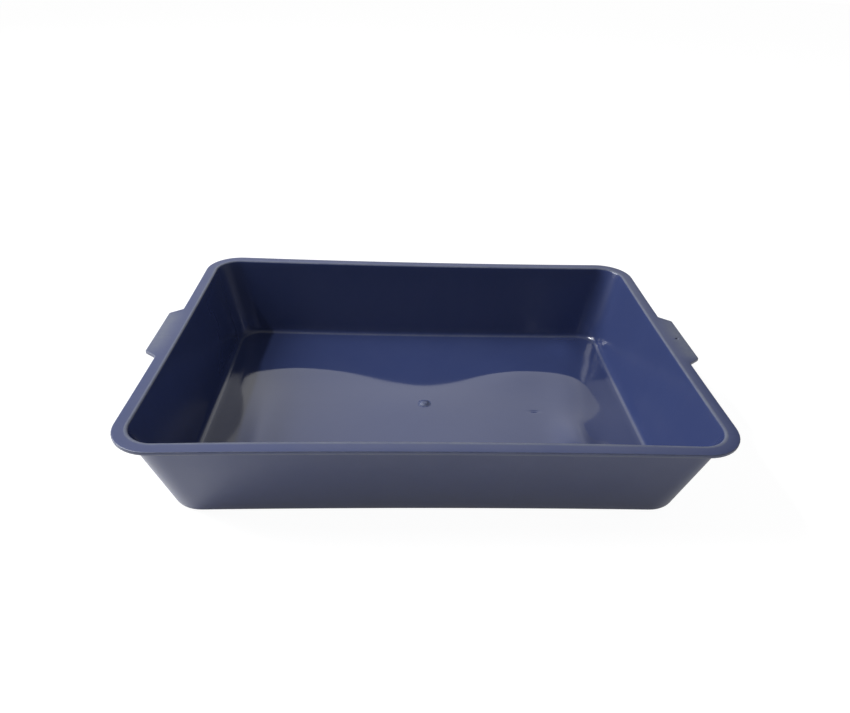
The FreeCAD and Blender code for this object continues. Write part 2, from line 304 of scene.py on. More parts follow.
# on one half of a short side: share of the columns, and share of the way along, at each change
CROWD_STARTS = (0.17, 0.22)
CROWD_ENDS = (0.61, 0.36)
print("columns round the tray:", COLUMNS)


# %% Where each column stands
def lay_columns(tree, column):
    """Start on the inner rectangle (from -1 to 1, twice) and outward direction of a column."""
    half = ((column + 0.5) / HALF_COLUMNS).math("FLOOR")
    facing = 1.0 - 2.0 * half.math("MODULO", 2.0)
    step = column - half * HALF_COLUMNS

    first_corner = step.ramp(LONG_COLUMNS, LONG_COLUMNS + CORNER_COLUMNS)
    short_start = LONG_COLUMNS + CORNER_COLUMNS
    across = step.ramp(short_start, short_start + SHORT_COLUMNS) * 2.0 - 1.0
    second_corner = step.ramp(short_start + SHORT_COLUMNS, HALF_COLUMNS)

    share = across.math("ABSOLUTE")
    early, near = CROWD_STARTS
    late, far = CROWD_ENDS
    spread = (share.ramp(0.0, early) * near + share.ramp(early, late) * (far - near)
              + share.ramp(late, 1.0) * (1.0 - far))
    start_x = step.ramp(0.0, LONG_COLUMNS) * 2.0 - 1.0
    start_y = across.math("SIGN") * spread
    angle = (first_corner + second_corner - 1.0) * (math.pi / 2)
    return [facing * value for value in (start_x, start_y, angle.math("COSINE"), angle.math("SINE"))]


# %% [markdown]
# ## What cooling did to it
#
# Thin mouldings shrink unevenly as they cool. The near long side has pulled in by three millimetres at
# its middle, the far one by four, and the short sides by a little more than one. The lip of the near
# side has rolled in a little further than its wall.
#
# The floor has swollen in long low ridges about its gate, four millimetres at most. Nobody would see
# them on a dull tray, but this floor is polished, and the far wall that it mirrors comes out wavy. A
# ridge is a bell curve here: a height, a middle and a spread along each axis. Adding a few bells is
# simpler than sculpting, and the numbers can be changed one at a time.

# %% The swells of the floor
# for each: height, middle along and across the tray, spread along and across it, all in metres
FLOOR_SWELLS = {
    "back left": (0.00176, -0.1152, 0.0627, 0.0622, 0.0239),
    "back right": (0.00300, 0.0948, 0.0554, 0.0407, 0.0290),
    "left": (0.00300, -0.1255, -0.0616, 0.0120, 0.0609),
    "right": (0.00300, 0.1339, 0.0071, 0.0229, 0.0713),
    "gate": (0.00072, -0.0014, -0.0018, 0.0393, 0.0290),
    "left inner": (0.00183, -0.1371, -0.0210, 0.0169, 0.0734),
    "back corner": (0.00226, 0.1442, 0.0952, 0.0144, 0.0221),
    "right hollow": (-0.00196, 0.1407, -0.0068, 0.0213, 0.0309),
    "right front": (0.00300, 0.1194, -0.0491, 0.0137, 0.0275),
}
print("swells of the floor:", len(FLOOR_SWELLS))


def swell_floor(tree, x, y):
    """Height that the swells add at a place on the floor."""
    total = None
    for height, middle_x, middle_y, spread_x, spread_y in FLOOR_SWELLS.values():
        along = (x - middle_x) / spread_x
        across = (y - middle_y) / spread_y
        bell = (-1.0 * (along * along + across * across)).math("EXPONENT") * height
        total = bell if total is None else total + bell
    return total


# %% Cool it down
# the rolled lip: where on the flange it fades out, where on the wall it starts, and the side it is on
LIP_FROM = 0.0008
LIP_TO = 0.0022
ROLL_HEIGHT = 0.045
ROLLED_SIDE = (0.84, 0.90)

# share of the floor, counted from its edge, over which the swells fade out
FLOOR_EDGE = 0.035

# a tenth of a millimetre, to keep a border clear of rounding errors
HAIR = 0.0001


def cool_down(tree, size, x, y, reach, height, share):
    """Pull the sides in and swell the floor."""
    across = y / size["Rim Half Width"]
    along = x / size["Rim Half Length"]
    pulled_x = x * (1.0 - size["Short Side Bow"] / size["Rim Half Length"] * (1.0 - across * across))
    more = size["Far Side Bow"] - size["Near Side Bow"]
    bow = size["Near Side Bow"] + across.ramp(-1.0, 1.0) * more
    pulled_y = y * (1.0 - bow / size["Rim Half Width"] * (1.0 - along * along))

    # only the near side's lip rolls in: the top of its wall and the flange's first two millimetres
    opening = size["Rim Half Length"] - size["Flange"]
    lip = 1.0 - reach.ramp(opening + LIP_FROM, opening + LIP_TO)
    lip = lip * height.ramp(ROLL_HEIGHT, size["Height"])
    rolled = lip * (-1.0 * across).ramp(*ROLLED_SIDE) * (1.0 - along * along)
    pulled_y = pulled_y + rolled * size["Near Lip Roll"]

    # the walls and the rim stay at their height
    free = (1.0 - share).ramp(0.0, FLOOR_EDGE, smooth=True)
    return pulled_x, pulled_y, height + (swell_floor(tree, x, y) + HAIR) * free


# %% [markdown]
# ## The skin
#
# A flat grid has one row for each point of the section and one column for each step round the tray.
# Each of its points asks the section for its reach and height, asks the column for its direction, and
# moves to its place. Rows inside the floor's edge change evenly from the tray's rounded rectangle to
# the circle of the gate. Merging the doubles closes the seam and the two poles.


# %% Move one grid point to its place on the tray
# share of the flange, counted from its outer edge, that is drawn out into the lug
HELD_FLANGE = 0.3


def place_points(tree, size, reach, height, column):
    """Position of a grid point, before cooling, and how far it lies towards the floor's edge."""
    start_x, start_y, out_x, out_y = lay_columns(tree, column)
    narrower = size["Rim Half Length"] - size["Rim Half Width"]

    # the corner radius grows by what a point lies outside the inner face of the wall
    ring = reach.math("MAXIMUM", size["Floor Half Length"])
    turn = size["Corner"] + ring - inner_face(size, height)
    x = start_x * (ring - turn) + out_x * turn
    y = start_y * (ring - narrower - turn) + out_y * turn

    # the lug pushes the outer part of the flange outward
    rise = size["Lug Reach"] / (size["Lug Root"] - size["Lug Tip"])
    push = (size["Lug Root"] - y.math("ABSOLUTE")) * rise
    push = push.math("SMOOTH_MAX", 0.0, size["Lug Turn"])
    push = push.math("SMOOTH_MIN", size["Lug Reach"], size["Lug Turn"])
    outer = size["Rim Half Length"] - size["Edge Turn"]
    held = reach.ramp(outer - size["Flange"] * HELD_FLANGE, outer - HAIR)
    x = x + out_x.math("ROUND") * push * held

    # inside the floor's edge the outline turns into the gate's circle
    far = (x * x + y * y).math("SQRT")
    core = reach.math("MINIMUM", size["Gate"])
    share = reach.ramp(size["Gate"], size["Floor Half Length"])
    shrink = core / far * (1.0 - share) + share
    return x * shrink, y * shrink, share


# %% [markdown]
# ## The mark of an ejector pin
#
# Pins push the cooled tray out of the mould, and one of them left a round dent in the top of the right
# lug. A dent of three millimetres is finer than the grid there. A short cylinder is cut out of the skin
# with a Mesh Boolean node instead, which needs no extra columns anywhere else. Its edges are kept
# sharp, so that the smooth shading of the flat lug is not bent around it.

# %% Read where in the section a point lies
def read_section(tree):
    """The attribute that tells where in the section a point lies."""
    named = add_node(tree, "GeometryNodeInputNamedAttribute", {"Name": "section"},
                     data_type="FLOAT_VECTOR")
    return named.outputs["Attribute"]


# %% Cut the pin's mark
PIN_SIDES = 24


def press_pin(tree, size, skin):
    """Cut the round mark of an ejector pin into the top of the right lug."""
    pin = add_node(tree, "GeometryNodeMeshCylinder",
                   {"Vertices": PIN_SIDES, "Radius": size["Pin Mark"], "Depth": size["Pin Depth"] * 2.0})
    place = join(tree, size["Pin Reach"] - size["Short Side Bow"], 0.0, size["Height"])
    # a quarter of a step of turn keeps the pin's corners off the lines of the skin's grid
    moved = add_node(tree, "GeometryNodeTransform",
                     {"Geometry": pin.outputs[0], "Translation": place,
                      "Rotation": (0.0, 0.0, math.pi / (2 * PIN_SIDES))})
    cut = add_node(tree, "GeometryNodeMeshBoolean", {"Mesh 1": skin},
                   operation="DIFFERENCE", solver="EXACT")
    tree.links.new(moved.outputs[0], cut.inputs["Mesh 2"])

    # the cut drops the skin's attribute, so each point takes it from the nearest point of the whole skin
    nearest = add_node(tree, "GeometryNodeSampleNearest", {"Geometry": skin}, domain="POINT")
    known = add_node(tree, "GeometryNodeSampleIndex",
                     {"Geometry": skin, "Value": read_section(tree), "Index": nearest.outputs[0]},
                     data_type="FLOAT_VECTOR", domain="POINT")
    labelled = add_node(tree, "GeometryNodeStoreNamedAttribute",
                        {"Geometry": cut.outputs["Mesh"], "Name": "section", "Value": known.outputs[0]},
                        data_type="FLOAT_VECTOR", domain="POINT")
    return labelled.outputs[0], cut.outputs["Intersecting Edges"]


# %% [markdown]
# ## Which face gets which finish
#
# The polished finish goes on every face within the walls, the grained one on every face at the very
# bottom, and the satin one on all the rest. Painting each face by hand would also do, until a size
# changes. Here a face is told by where it lay in the mould, so no change or warp moves the border
# between two finishes.

# %% Dress the skin
# where the polished finish ends within the wall, and how far up and out the grained one goes
WITHIN_WALL = 0.0012
UNDERSIDE_TOP = 0.0019
UNDERSIDE_REACH = 0.008


def dress(tree, size, skin, finishes):
    """Give each face its finish: the outside's to all, then the inside's and the underside's."""
    reach, height, _ = split(tree, read_section(tree))
    face = inner_face(size, height) + WITHIN_WALL
    inside = (reach - face).math("LESS_THAN", 0.0)
    inside = inside * height.math("GREATER_THAN", size["Wall"] - HAIR)
    beneath = height.math("LESS_THAN", UNDERSIDE_TOP)
    beneath = beneath * reach.math("LESS_THAN", size["Floor Half Length"] + UNDERSIDE_REACH)
    for place, where in (("outside", True), ("inside", inside), ("underside", beneath)):
        skin = add_node(tree, "GeometryNodeSetMaterial",
                        {"Geometry": skin, "Selection": where, "Material": finishes[place]}).outputs[0]
    return skin


# %% [markdown]
# ## The whole tree
#
# The tree below joins the steps: section, grid, places, merge, pin mark, smooth shading and finishes.
# A tray drawn by hand would be quicker to make once. This one can be grown again with another size.

# %% The tray's node tree
# points closer than a thousandth of a millimetre are one point
SAME_POINT = 0.000001


def make_tray_tree(name, finishes):
    """Geometry Nodes tree that makes the whole skin from its named sizes."""
    tree = bpy.data.node_groups.new(name, "GeometryNodeTree")
    tree.interface.new_socket("Geometry", in_out="INPUT", socket_type="NodeSocketGeometry")
    tree.interface.new_socket("Geometry", in_out="OUTPUT", socket_type="NodeSocketGeometry")
    for label in SIZES:
        tree.interface.new_socket(label, in_out="INPUT", socket_type="NodeSocketFloat")
    entry = add_node(tree, "NodeGroupInput")
    size = {label: Flow(tree, entry.outputs[label]) for label in SIZES}

    # one grid point for each point of the section in each column
    section = draw_section(tree, size)
    count = add_node(tree, "GeometryNodeAttributeDomainSize", {0: section}, component="MESH")
    grid = add_node(tree, "GeometryNodeMeshGrid",
                    {"Vertices X": count.outputs["Point Count"], "Vertices Y": COLUMNS + 1})
    number = own_number(tree)
    row = ((number + 0.5) / (COLUMNS + 1)).math("FLOOR")
    column = number - row * (COLUMNS + 1)
    sample = add_node(tree, "GeometryNodeSampleIndex",
                      {"Geometry": section, "Value": position(tree), "Index": row},
                      data_type="FLOAT_VECTOR", domain="POINT")
    reach, height, _ = split(tree, sample.outputs[0])
    x, y, share = place_points(tree, size, reach, height, column)
    x, y, cooled = cool_down(tree, size, x, y, reach, height, share)
    placed = add_node(tree, "GeometryNodeSetPosition",
                      {"Geometry": grid.outputs["Mesh"], "Position": join(tree, x, y, cooled)})

    # each point keeps the reach and height that it had in the mould
    labelled = add_node(tree, "GeometryNodeStoreNamedAttribute",
                        {"Geometry": placed.outputs[0], "Name": "section",
                         "Value": join(tree, reach, height, 0.0)},
                        data_type="FLOAT_VECTOR", domain="POINT")
    closed = add_node(tree, "GeometryNodeMergeByDistance",
                      {"Geometry": labelled.outputs[0], "Distance": SAME_POINT})
    marked, rim_of_mark = press_pin(tree, size, closed.outputs[0])
    smooth = add_node(tree, "GeometryNodeSetShadeSmooth", {0: marked})
    creased = add_node(tree, "GeometryNodeSetShadeSmooth",
                       {"Geometry": smooth.outputs[0], "Selection": rim_of_mark, "Shade Smooth": False},
                       domain="EDGE")
    whole = add_node(tree, "GeometryNodeRealizeInstances", {0: creased.outputs[0]})
    dressed = dress(tree, size, whole.outputs[0], finishes)
    leave = add_node(tree, "NodeGroupOutput")
    tree.links.new(dressed, leave.inputs["Geometry"])
    return tree


# %% [markdown]
# ## One plastic, three finishes
#
# The whole tray is one navy plastic. What differs is the steel it was pressed against. The mould's
# core was polished, so the inside is as glossy as lacquer. The cavity was only stoned smooth, so the
# outside and the rim are satin. The underside got a coarse spark-eroded grain, because nobody sees it
# and it scratches on every bench anyway.
#
# Pigment streaks, wear with painted highlights, scuffs and dust are node groups, so the three finishes
# share them. They only feed colour, roughness and bump height. What stays the same all over is set on
# each shader itself.

# %% The plastic's numbers
NAVY = (0.0365, 0.0520, 0.1400)
DEEP_NAVY = (0.0300, 0.0430, 0.1230)
# pale colour of rubbing, also used for painted highlights and reflections
RUBBED_AND_HIGHLIGHT = (0.1150, 0.1300, 0.1800)
DUST = (0.3000, 0.3000, 0.2900)
REFRACTION = 1.6


# %% Helpers for shader groups
def start_group(name, takes, gives):
    """An empty shader group with named inputs and outputs."""
    group = bpy.data.node_groups.new(name, "ShaderNodeTree")
    for label, (kind, default) in takes.items():
        socket = group.interface.new_socket(label, in_out="INPUT", socket_type="NodeSocket" + kind)
        socket.default_value = default
    for label, kind in gives.items():
        group.interface.new_socket(label, in_out="OUTPUT", socket_type="NodeSocket" + kind)
    entry = add_node(group, "NodeGroupInput")
    leave = add_node(group, "NodeGroupOutput")
    taken = {label: Flow(group, entry.outputs[label]) for label in takes}
    return group, taken, leave


def use_group(tree, group, feeds):
    """Put a shader group into a tree and feed its inputs."""
    return add_node(tree, "ShaderNodeGroup", feeds, node_tree=group)


def noise(tree, where, scale, detail=2.0, roughness=0.5, stretch=None, turn=(0.0, 0.0, 0.0)):
    """Value noise from 0 to 1, in the object's own coordinates."""
    if stretch or any(turn):
        mapping = add_node(tree, "ShaderNodeMapping", {"Vector": where, "Rotation": turn})
        mapping.inputs["Scale"].default_value = stretch or (1.0, 1.0, 1.0)
        where = mapping.outputs[0]
    node = add_node(tree, "ShaderNodeTexNoise",
                    {"Vector": where, "Scale": scale, "Detail": detail, "Roughness": roughness})
    return Flow(tree, node.outputs["Fac"])


def mix_colour(tree, share, first, second):
    """The first colour where share is 0, the second where it is 1."""
    node = add_node(tree, "ShaderNodeMix", data_type="RGBA")
    for place, value in zip((0, 6, 7), (share, first, second)):
        value = (*value, 1.0) if isinstance(value, tuple) and len(value) == 3 else value
        feed(tree, node.inputs[place], value)
    return node.outputs[2]


def section_place(tree):
    """Reach and height in the mould, which the skin carries as an attribute."""
    node = add_node(tree, "ShaderNodeAttribute", attribute_name="section", attribute_type="GEOMETRY")
    reach, height, _ = split(tree, node.outputs["Vector"])
    return reach, height


def object_place(tree):
    """The object's own coordinates, in metres."""
    return add_node(tree, "ShaderNodeTexCoord").outputs["Object"]


# %% [markdown]
# ### Colour that flowed from the gate
#
# The melt runs outward from the gate, and pigment that is not fully mixed leaves faint fan-shaped
# streaks. Noise on the angle about the gate, stretched along the radius, gives them. A slow cloud of
# noise adds the general unevenness of a cheap moulding.

# %% Pigment group
def make_pigment():
    """How light or dark the plastic is: streaks that fan out from the gate, and slow clouds."""
    group, taken, leave = start_group(
        "Pigment", {"Streaks": ("Float", 0.5), "Clouds": ("Float", 0.5)}, {"Tone": "Float"})
    where = object_place(group)
    x, y, _ = split(group, where)
    angle = y.math("ARCTAN2", x)
    far = (x * x + y * y).math("SQRT")

    # a circle in the noise for the angle keeps the streaks free of a seam
    fan = join(group, angle.math("COSINE") * 3.0, angle.math("SINE") * 3.0, far * 5.0)
    streak = noise(group, fan, 2.2, 3.0, 0.6) - 0.5
    cloud = noise(group, where, 9.0, 2.0) - 0.5
    tone = streak * taken["Streaks"] + cloud * taken["Clouds"]
    feed(group, leave.inputs["Tone"], tone)
    return group


PIGMENT = make_pigment()
print("pigment group:", len(PIGMENT.nodes), "nodes")

# %% [markdown]
# ### Rubbed edges and painted highlights
#
# Trays are stacked, slid and carried, so the convex edges rub first: the lip's upper corner and the
# heel. The same pale colour is also painted on as highlights and reflections: a line along the lip's
# lower corner, a line along the opening's edge, a band along the root, where the floor turns into the
# walls, paler tops on the two lugs and a paler crown on the gate boss. The skin knows where it lies in
# the section, so each edge is a narrow band of reach and height. Noise breaks the band up, because wear
# is never even.

# %% Wear and painted highlights group
def band(value, middle, half, soft):
    """1 within half of the middle, falling to 0 over the soft width."""
    return 1.0 - (value - middle).math("ABSOLUTE").ramp(half, half + soft, smooth=True)


# reach and height, in metres, at which the rubbing or painted highlight of a place starts and is full,
# or ends
HEEL_REACH_WORN = (0.1745, 0.1775)
HEEL_HEIGHT_WORN = (0.0, 0.0030)
ROOT_HIGHLIGHT_AT = 0.1722
ROOT_HIGHLIGHT_TO = (0.0040, 0.0065)
BOSS_REACH_LIT = (0.0040, 0.0055)
BOSS_HEIGHT_LIT = (0.0020, 0.0026)
LUG_HALF_REFLECTION = (0.022, 0.044)


def make_wear_and_highlights():
    """How pale each place is, from 0 to 1: rubbed places, and painted highlights and reflections."""
    group, taken, leave = start_group("Wear and painted highlights", {"Amount": ("Float", 1.0)}, {"Wear and highlight": "Float"})
    reach, height = section_place(group)
    outer = SIZES["Rim Half Length"]
    top = SIZES["Height"]
    under = top - SIZES["Wall"]
    opening = outer - SIZES["Flange"]

    # the lip's upper corner and the heel are rubbed; the lip's lower corner and the opening's edge are
    # painted highlights
    # painted highlight: a pale line along the lip's lower corner
    lower_lip = band(height, under + 0.0002, 0.0002, 0.0006) * reach.ramp(outer - 0.0010, outer - 0.0004)
    upper_lip = band(reach, outer - 0.0001, 0.0001, 0.0007) * height.ramp(top - 0.0008, top - 0.0003)
    # painted highlight: a pale line along the opening's edge
    mouth = band(reach, opening + 0.0011, 0.0006, 0.0009) * height.ramp(top - 0.0022, top - 0.0006)
    heel = (1.0 - height.ramp(*HEEL_HEIGHT_WORN)) * reach.ramp(*HEEL_REACH_WORN) * 0.8

    # painted reflection: a pale band along the root, where the floor turns into the walls
    root_highlight = band(reach, ROOT_HIGHLIGHT_AT, 0.0005, 0.0012)
    root_highlight = root_highlight * (1.0 - height.ramp(*ROOT_HIGHLIGHT_TO)) * 0.45
    # painted light: a paler crown on the gate boss
    boss = (1.0 - reach.ramp(*BOSS_REACH_LIT)) * height.ramp(*BOSS_HEIGHT_LIT) * 0.6
    edges = (lower_lip + upper_lip * 0.55 + mouth + heel + root_highlight + boss).math("MINIMUM", 1.0)

    # painted reflection: paler tops on the two lugs
    where = object_place(group)
    x, y, _ = split(group, where)
    lug_reflection = x.math("ABSOLUTE").ramp(outer - 0.010, outer + 0.009, smooth=True)
    lug_reflection = lug_reflection * (1.0 - y.math("ABSOLUTE").ramp(*LUG_HALF_REFLECTION))
    lug_reflection = lug_reflection * height.ramp(under, top) * 1.3

    # patches and nicks break it up
    patch = noise(group, where, 55.0, 4.0, 0.65).ramp(0.30, 0.62)
    nick = noise(group, where, 420.0, 2.0, 0.6).ramp(0.35, 0.62)
    wear_and_highlight = (edges + lug_reflection).math("MINIMUM", 1.0) * (patch * 0.45 + 0.55) * (nick * 0.25 + 0.75)
    feed(group, leave.inputs["Wear and highlight"], wear_and_highlight * taken["Amount"])
    return group


WEAR_AND_HIGHLIGHTS = make_wear_and_highlights()
print("wear and painted highlight group:", len(WEAR_AND_HIGHLIGHTS.nodes), "nodes")

# %% [markdown]
# ### Scuffs and dust
#
# A clean but used tray shows hairlines only where light grazes it. They are noise stretched nearly
# thirty times along one direction, kept only where it peaks, in three directions. Dust is fine specks
# and a little more of it in the corner between the floor and the walls.

# %% Scuff group
# for each set of hairlines: its turn about Z in radians, and its scale
SCUFF_SETS = ((0.35, 190.0), (-0.62, 260.0), (1.35, 220.0))
SCUFF_STRETCH = (0.035, 1.0, 0.6)


def make_scuffs():
    """Hairlines, from 0 to 1, in the areas that see use."""
    group, taken, leave = start_group("Scuffs", {"Amount": ("Float", 1.0)}, {"Scuffs": "Float"})
    where = object_place(group)
    total = None
    for turn, scale in SCUFF_SETS:
        line = noise(group, where, scale, 2.0, 0.5, stretch=SCUFF_STRETCH, turn=(0.0, 0.0, turn))
        line = line.ramp(0.66, 0.74)
        total = line if total is None else total + line
    where_used = noise(group, where, 14.0, 3.0).ramp(0.45, 0.65)
    feed(group, leave.inputs["Scuffs"], (total * where_used * taken["Amount"]).math("MINIMUM", 1.0))
    return group


# %% Dust group
DUSTY_ROOT_AT = 0.1735


def make_dust():
    """Dust, from 0 to 1: specks, a haze and more of the haze along the root."""
    group, taken, leave = start_group("Dust", {"Amount": ("Float", 1.0)}, {"Dust": "Float"})
    where = object_place(group)
    speck = noise(group, where, 900.0, 1.0, 0.4).ramp(0.74, 0.80)
    haze = noise(group, where, 30.0, 4.0, 0.6).ramp(0.35, 0.85) * 0.25
    reach, height = section_place(group)
    root = band(reach, DUSTY_ROOT_AT, 0.0012, 0.0045) * (1.0 - height.ramp(0.004, 0.012)) * 0.5
    dust = (speck * 0.6 + haze + root * haze * 4.0) * taken["Amount"]
    feed(group, leave.inputs["Dust"], dust.math("MINIMUM", 1.0))
    return group


SCUFFS = make_scuffs()
FALLEN_DUST = make_dust()
print("scuff group:", len(SCUFFS.nodes), "nodes; dust group:", len(FALLEN_DUST.nodes), "nodes")


# %% [markdown]
# ### What every finish starts from
#
# Each finish is a Principled shader. The refraction of the plastic is the same all over, so it is
# written on the shader's own socket. One Bump node waits for the fine relief, and a short helper mixes
# the colour in this order: pigment, then rubbing and the painted highlights, then dust on top.

# %% Start a finish
def start_finish(name, roughness, bump_distance):
    """A material with its shader's plain numbers set, and the sockets that detail will feed."""
    finish = bpy.data.materials.new(name)
    finish.use_nodes = True
    tree = finish.node_tree
    shader = tree.nodes["Principled BSDF"]
    shader.inputs["IOR"].default_value = REFRACTION

    # a viewer that reads no nodes falls back on this one number
    shader.inputs["Roughness"].default_value = roughness
    bump = add_node(tree, "ShaderNodeBump", {"Strength": 1.0, "Distance": bump_distance})
    tree.links.new(bump.outputs[0], shader.inputs["Normal"])
    return finish, tree, shader, bump


def shared_detail(tree, streaks, clouds, wear_and_highlight, scuffs, dust):
    """The four shared groups, as flowing numbers."""
    tone = use_group(tree, PIGMENT, {"Streaks": streaks, "Clouds": clouds}).outputs["Tone"]
    worn_and_highlit = use_group(tree, WEAR_AND_HIGHLIGHTS, {"Amount": wear_and_highlight}).outputs["Wear and highlight"]
    lines = use_group(tree, SCUFFS, {"Amount": scuffs}).outputs["Scuffs"]
    fallen = use_group(tree, FALLEN_DUST, {"Amount": dust}).outputs["Dust"]
    return [Flow(tree, socket) for socket in (tone, worn_and_highlit, lines, fallen)]


def paint(tree, tone, worn_and_highlit, fallen):
    """Navy that varies with the pigment, pales where rubbed or where highlights are painted, and greys
    under dust.
    """
    base = mix_colour(tree, (tone + 0.5).ramp(0.0, 1.0), DEEP_NAVY, NAVY)
    rubbed = mix_colour(tree, worn_and_highlit, base, RUBBED_AND_HIGHLIGHT)
    return mix_colour(tree, fallen, rubbed, DUST)


# %% [markdown]
# ### The polished inside
#
# The floor is as glossy as lacquer. The root and the walls are a little less so, because a polisher
# reaches them less well, and the gate boss is duller still, because every trowel scrapes over it. The
# floor has a thumb's smudge to the right of the gate. The far wall carries a weld line: two fronts of
# melt met there, and the faint vertical seam between them never quite closed.

# %% Polished finish
SMUDGE = (0.0915, -0.0094)
SMUDGE_SPREAD = (0.0048, 0.0016)
WELD_AT = 0.0725


def make_polished():
    """The inside, as glossy as lacquer."""
    finish, tree, shader, bump = start_finish("polished_navy", 0.05, 0.00002)
    tone, worn_and_highlit, lines, fallen = shared_detail(tree, 0.5, 0.4, 0.9, 0.25, 0.05)
    feed(tree, shader.inputs["Base Color"], paint(tree, tone, worn_and_highlit, fallen))
    where = object_place(tree)
    x, y, _ = split(tree, where)
    reach, height = section_place(tree)

    # duller than the floor: the walls, the lip, the gate boss, the root and the smudge
    wall = height.ramp(0.009, 0.022)
    lip = reach.ramp(0.1915, 0.1935)
    spot_x = (x - SMUDGE[0]) / SMUDGE_SPREAD[0]
    spot_y = (y - SMUDGE[1]) / SMUDGE_SPREAD[1]
    smudge = (-1.0 * (spot_x * spot_x + spot_y * spot_y)).math("EXPONENT")
    gate_matt = 1.0 - reach.ramp(0.0050, 0.0062)
    root_matt = reach.ramp(0.1690, 0.1710) * (1.0 - height.ramp(0.0075, 0.0110))
    sheen = noise(tree, where, 22.0, 3.0).ramp(0.3, 0.8) * 0.02
    roughness = 0.045 + wall * 0.165 + lip * 0.18 + gate_matt * 0.36 + root_matt * 0.11
    roughness = roughness + sheen + smudge * 0.20 + lines * 0.10 + worn_and_highlit * 0.20 + fallen * 0.30
    feed(tree, shader.inputs["Roughness"], roughness)

    # relief: ripples of the polishing, the weld line, the smudge and the scuffs
    weld = band(x, WELD_AT, 0.0001, 0.0006) * y.ramp(0.11, 0.12)
    ripple = noise(tree, where, 60.0, 2.0) * 0.6
    feed(tree, bump.inputs["Height"], ripple - weld * 1.5 - smudge * 14.0 - lines * 0.4)
    return finish


# %% [markdown]
# ### The satin outside
#
# The cavity that shaped the outside was only stoned, so it has a fine even grain. Drawing the tray out
# of the mould dragged it faintly upward, and that is noise stretched along Z. The near side has one
# flow line, where the melt slowed down.

# %% Satin finish
FLOW_LINE_AT = 0.0560


def make_satin():
    """The outside and the rim, with a fine even grain."""
    finish, tree, shader, bump = start_finish("satin_navy", 0.35, 0.00003)
    tone, worn_and_highlit, lines, fallen = shared_detail(tree, 0.4, 0.6, 1.0, 0.8, 0.15)
    feed(tree, shader.inputs["Base Color"], paint(tree, tone, worn_and_highlit, fallen))
    where = object_place(tree)
    x, y, _ = split(tree, where)
    cloud = noise(tree, where, 12.0, 3.0).ramp(0.3, 0.7) * 0.08
    feed(tree, shader.inputs["Roughness"], 0.30 + cloud + lines * 0.15 + worn_and_highlit * 0.2 + fallen * 0.2)
    grain = noise(tree, where, 1500.0, 2.0) * 0.5
    drag = noise(tree, where, 160.0, 2.0, 0.6, stretch=(1.0, 1.0, 0.05)) * 0.5
    flow_line = band(x, FLOW_LINE_AT, 0.0003, 0.0012) * (1.0 - y.ramp(-0.13, -0.11))
    feed(tree, bump.inputs["Height"], grain + drag - flow_line * 1.2 - lines * 0.5)
    return finish


# %% [markdown]
# ### The grained underside
#
# The underside slides on benches. Its steel was left with a coarse grain, and the plastic's high spots
# are rubbed smooth, so its scuffs are glossier than the grain about them.

# %% Grained finish
def make_underside():
    """The underside, coarse and rubbed."""
    finish, tree, shader, bump = start_finish("grained_navy", 0.55, 0.00006)
    tone, worn_and_highlit, lines, fallen = shared_detail(tree, 0.6, 0.6, 1.0, 1.0, 0.3)
    feed(tree, shader.inputs["Base Color"], paint(tree, tone, worn_and_highlit, fallen))
    where = object_place(tree)
    grain = noise(tree, where, 1100.0, 3.0, 0.6)
    feed(tree, shader.inputs["Roughness"], 0.50 + grain * 0.12 - lines * 0.15)
    feed(tree, bump.inputs["Height"], grain - lines * 0.6)
    return finish


FINISHES = {"inside": make_polished(), "outside": make_satin(), "underside": make_underside()}
for place, finish in FINISHES.items():
    print(place, "finish:", finish.name, "with", len(finish.node_tree.nodes), "nodes")

# %% [markdown]
# ## Growing the skin
#
# The tree is put on an empty mesh as a modifier, and its inputs are set by their identifiers before
# anything is evaluated. The evaluated result is then copied into a plain mesh and the modifier goes,
# because later tools read meshes and not modifiers. The skin stands for all seventeen regions of the
# solid model, which stay hidden for collisions.

# %% Grow a tree into a plain mesh
def grow(name, tree, sizes):
    """Run a tree on an empty mesh and keep the result as a plain mesh."""
    seed = bpy.data.objects.new(name, bpy.data.meshes.new(name))
    bpy.context.scene.collection.objects.link(seed)
    modifier = seed.modifiers.new("grow", "NODES")
    modifier.node_group = tree
    for item in tree.interface.items_tree:
        if item.in_out == "INPUT" and item.name in sizes:
            modifier[item.identifier] = sizes[item.name]
    grown = seed.evaluated_get(bpy.context.evaluated_depsgraph_get())
    mesh = bpy.data.meshes.new_from_object(grown)
    seed.modifiers.remove(modifier)
    seed.data = mesh
    return seed


# %% The tray's skin
tray = grow("tray_moulding", make_tray_tree("tray", FINISHES), SIZES)
print("skin:", len(tray.data.vertices), "points,", len(tray.data.polygons), "faces")

# %% Stand in for the solid model's regions
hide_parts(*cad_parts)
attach(tray, "root")

# %% [markdown]
# ## A pale studio
#
# The tray stands on white paper. Seen straight on, the paper is nearly white by its own glow and keeps
# a faint shadow of the tray. For every other ray it is plain white paper that bounces light back, and
# glossy plastic mirrors its glow at less than half of white, as paper a little away from the lamp looks.
# A brightly lit floor alone would be simpler, but lamps strong enough for a white floor would bleach
# the tray.

# %% Tell the kinds of rays apart
def ray_kinds(tree):
    """1 for a straight view and 0 for the rest, then 1 for a view in a mirror and 0 for the rest."""
    path = add_node(tree, "ShaderNodeLightPath")
    in_mirror = Flow(tree, path.outputs["Is Glossy Ray"])
    in_mirror = in_mirror.math("MAXIMUM", path.outputs["Is Transmission Ray"])
    return Flow(tree, path.outputs["Is Camera Ray"]), in_mirror


# %% Paper under the tray
FLOOR_HALF = 8.0

# the paper's white and its glow, by the kind of view
PAPER_WHITE = 0.80
PAPER_WHITE_SEEN = 0.16
GLOW_SEEN = 0.95
GLOW_MIRRORED = 0.40

